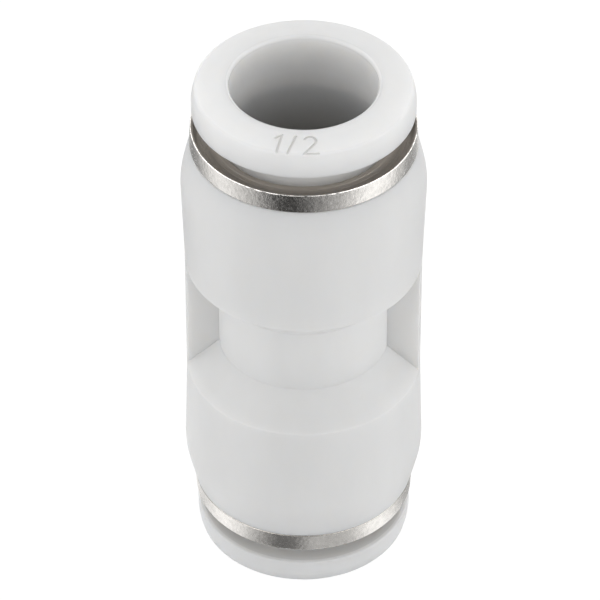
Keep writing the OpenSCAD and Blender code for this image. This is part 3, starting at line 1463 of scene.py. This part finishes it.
@dataclass(frozen=True)
class CardRing:
    """A flat ring of glowing cards just above the floor, which the fitting's plate mirrors."""

    name: str
    inner: float
    outer: float
    tones: tuple[Spot, ...]
    brightest: float = 1.25
    above_floor: float = 0.05

    def place(self, front: float, floor_z: float) -> None:
        """Lays the ring on its place.

        Args:
            front: Azimuth of the cards' 0, in degrees from -Y towards +X.
            floor_z: The floor's height in millimetres.
        """
        put_down()
        bpy.ops.mesh.primitive_circle_add(vertices=144, radius=self.outer * MM, fill_type="NGON",
                                          location=(0, 0, (floor_z + self.above_floor) * MM))
        ring = settle(rename(bpy.context.object, self.name))
        with edit(ring, "FACE"):
            bpy.ops.mesh.select_all(action="SELECT")
            bpy.ops.mesh.inset(thickness=(self.outer - self.inner) * MM)
            bpy.ops.mesh.delete(type="FACE")
        ring.data.materials.append(self.paint(front))
        mirrored_only(ring)

    def paint(self, front: float) -> bpy.types.Material:
        """Builds the cards' glow, whose tone changes with the azimuth.

        Args:
            front: Azimuth of the cards' 0, in degrees.

        Returns:
            The material.
        """
        s = Shader(self.name)
        place = s.mapped(turn=math.radians(90 - front))
        turn = s.math("ARCTAN2", s.part("Y", place), s.part("X", place))
        ramp = s.add("ShaderNodeValToRGB")
        s.link(s.spread(turn, (-math.pi, math.pi)), ramp.inputs[0])
        stops = ramp.color_ramp.elements
        for i, (angle, tone) in enumerate(self.tones):
            where = (angle + 180) / 360
            stop = stops[i] if i < 2 else stops.new(where)
            stop.position = where
            grey = tone / self.brightest
            stop.color = (grey, grey, grey, 1)
        clear = s.add("ShaderNodeBsdfTransparent").outputs[0]
        behind = s.add("ShaderNodeNewGeometry").outputs["Backfacing"]
        s.show(s.blend(behind, s.glow(self.brightest, ramp.outputs[0]), clear))
        return s.owner


@dataclass
class Studio:
    """White floor and surround, soft lamps, grey cards for the plate to mirror, and the camera.

    The dark strip overhead is given by its width, length and height in millimetres.
    """

    floor_z: float = -25.26
    floor_size: float = 1600
    floor_colour: Colour = (0.8, 0.8, 0.8)
    floor_white: float = 1.08
    floor_keep: float = 0.10
    surround: float = 0.153
    gap: tuple[float, float, float] = (110, 900, 200)
    gap_glow: float = 0.05
    boxes: tuple[Softbox, ...] = (
        Softbox("softbox_top", 183, 72, 0.60, 0.30, 0.186),
        Softbox("softbox_front", 3, 40, 0.60, 0.35, 0.103),
        Softbox("softbox_left_front", -42, 12, 0.60, 0.35, 0.238),
        Softbox("softbox_right_front", 48, 12, 0.60, 0.35, 0.215),
        Softbox("softbox_left", -77, 12, 0.60, 0.35, 0.185),
        Softbox("softbox_right", 83, 12, 0.60, 0.35, 0.240),
        Softbox("softbox_left_high", -67, 45, 0.60, 0.35, 0.070),
        Softbox("softbox_right_high", 78, 45, 0.60, 0.35, 0.090),
        Softbox("softbox_left_back", -137, 45, 0.60, 0.35, 0.267),
        Softbox("softbox_right_back", 143, 45, 0.60, 0.35, 0.184),
    )
    cards: tuple[CardRing, ...] = (
        CardRing("studio_cards_near", 11, 30, (
            (-180, 0.7), (-117, 0.97), (-104, 0.86), (-90, 0.71), (-77, 0.93), (-63, 1.11),
            (-50, 0.88), (-35, 0.42), (-21, 0.14), (-7, 0.14), (7, 0.50), (21, 0.46), (35, 0.52),
            (50, 1.0), (63, 1.1), (77, 0.82), (90, 0.5), (104, 0.45), (117, 0.76), (180, 0.7))),
        CardRing("studio_cards_far", 30, 300, (
            (-180, 0.8), (-160, 0.6), (-140, 0.2), (-121, 0.38), (-102, 0.85), (-83, 1.0),
            (-65, 0.68), (-46, 0.45), (-28, 0.06), (-9, 0.02), (9, 0.18), (28, 0.38), (46, 0.64),
            (65, 1.2), (83, 1.1), (102, 0.66), (121, 0.3), (140, 0.4), (160, 1.0), (180, 0.9))),
    )
    azimuth: float = 3.0
    tilt: float = 40.448
    distance: float = 402.57
    lens: float = 270.68
    sensor: float = 36
    clip: float = 20
    rise: float = -0.531
    aside: float = -0.33

    def add_floor(self) -> None:
        """Adds the pale floor, which shows white and keeps a faint shadow."""
        put_down()
        middle = (0, 0, self.floor_z * MM)
        bpy.ops.mesh.primitive_plane_add(size=self.floor_size * MM, location=middle)
        floor = settle(rename(bpy.context.object, "studio_floor"))
        s = Shader("studio_floor")
        paper = s.add("ShaderNodeBsdfDiffuse")
        paper.inputs["Color"].default_value = (*self.floor_colour, 1)
        white = s.spread(s.seen_white(), (0, 1), (0, 1 - self.floor_keep))
        s.show(s.blend(white, paper.outputs[0], s.glow(self.floor_white)))
        floor.data.materials.append(s.owner)

    def add_gap(self) -> None:
        """Hangs a dark strip overhead, front to back, that only the plate and the gloss mirror."""
        put_down()
        wide, long, high = self.gap
        bpy.ops.mesh.primitive_plane_add(size=1, location=(0, 0, high * MM))
        strip = rename(bpy.context.object, "studio_gap")
        strip.scale = (wide * MM, long * MM, 1)
        strip.rotation_euler.z = math.radians(self.azimuth)
        settle(strip)
        s = Shader("studio_gap")
        s.show(s.glow(self.gap_glow))
        strip.data.materials.append(s.owner)
        mirrored_only(strip)

    def add_surround(self) -> None:
        """Sets the world: white to the lens, and a soft even light on the fitting."""
        s = Shader("studio_surround", world=True)
        light = s.add("ShaderNodeBackground")
        light.inputs["Color"].default_value = (1, 1, 1, 1)
        s.link(s.spread(s.seen_white(), (0, 1), (self.surround, 1)), light.inputs["Strength"])
        s.show(light.outputs[0])
        bpy.context.scene.world = s.owner

    def add_camera(self) -> None:
        """Adds the camera at the photograph's viewpoint, in front of and above the fitting."""
        data = bpy.data.cameras.new("camera")
        data.lens = self.lens
        data.sensor_width = self.sensor
        data.clip_start = self.clip * MM
        camera = bpy.data.objects.new("camera", data)
        bpy.context.scene.collection.objects.link(camera)
        tilt = math.radians(self.tilt)
        ahead = Vector((0, math.cos(tilt), -math.sin(tilt)))
        up = Vector((0, math.sin(tilt), math.cos(tilt)))
        place = Vector((self.aside, 0, 0)) - ahead * self.distance - up * self.rise
        turn = Matrix.Rotation(math.radians(self.azimuth), 3, "Z")
        camera.location = turn @ place * MM
        camera.rotation_euler = (turn @ ahead).to_track_quat("-Z", "Y").to_euler()
        bpy.context.scene.camera = camera

    def build(self) -> None:
        """Adds everything in the studio."""
        self.add_floor()
        for ring in self.cards:
            ring.place(self.azimuth, self.floor_z)
        self.add_gap()
        self.add_surround()
        for box in self.boxes:
            box.place()
        self.add_camera()
        bpy.context.scene.view_settings.view_transform = "Standard"
        log.info("studio: %d softboxes, floor, cards and camera", len(self.boxes))


def main() -> None:
    """Builds and dresses every piece, then the studio."""
    logging.basicConfig(level=logging.INFO, format="%(message)s")
    # The body's plastic paints shade on its webs
    body_plastic = Dress.of(MouldedPlastic(
        "body_plastic", (0.775, 0.775, 0.77), milkiness=0.7, milk_depth=2.2, web_shade=0.93))
    # The button's plastic paints shade deep in the bore, partly for the metal behind, and in the
    # size mark, and paints light on the stem below the flange
    button_plastic = Dress.of(MouldedPlastic(
        "button_plastic", (0.80, 0.80, 0.795), milkiness=0.9, milk_depth=4.5,
        bore_shade_over_metal=(0.30, 0.285, 0.265), mouth=(6.80, 24.75), mark=((7.35, 25.25), (9.43, 24.85)),
        lit=(0.97, 0.965, 0.95)))
    spacer_plastic = Dress.of(MouldedPlastic("spacer_plastic", (0.62, 0.62, 0.60), roughness=0.5))
    nickel = Dress.of(NickelPlate())
    steel = Dress.of(SpringSteel())
    rubber = Dress.of(SealRubber())
    Body().build(body_plastic)
    ReleaseButton().build(button_plastic)
    GuideCollar().build(nickel)
    LockClaw().build(steel)
    spacer_plastic.repaint("top_spacer_ring", "bottom_spacer_ring")
    rubber.repaint("top_lip_seal", "bottom_lip_seal")
    Studio().build()


if __name__ == "__main__":
    main()
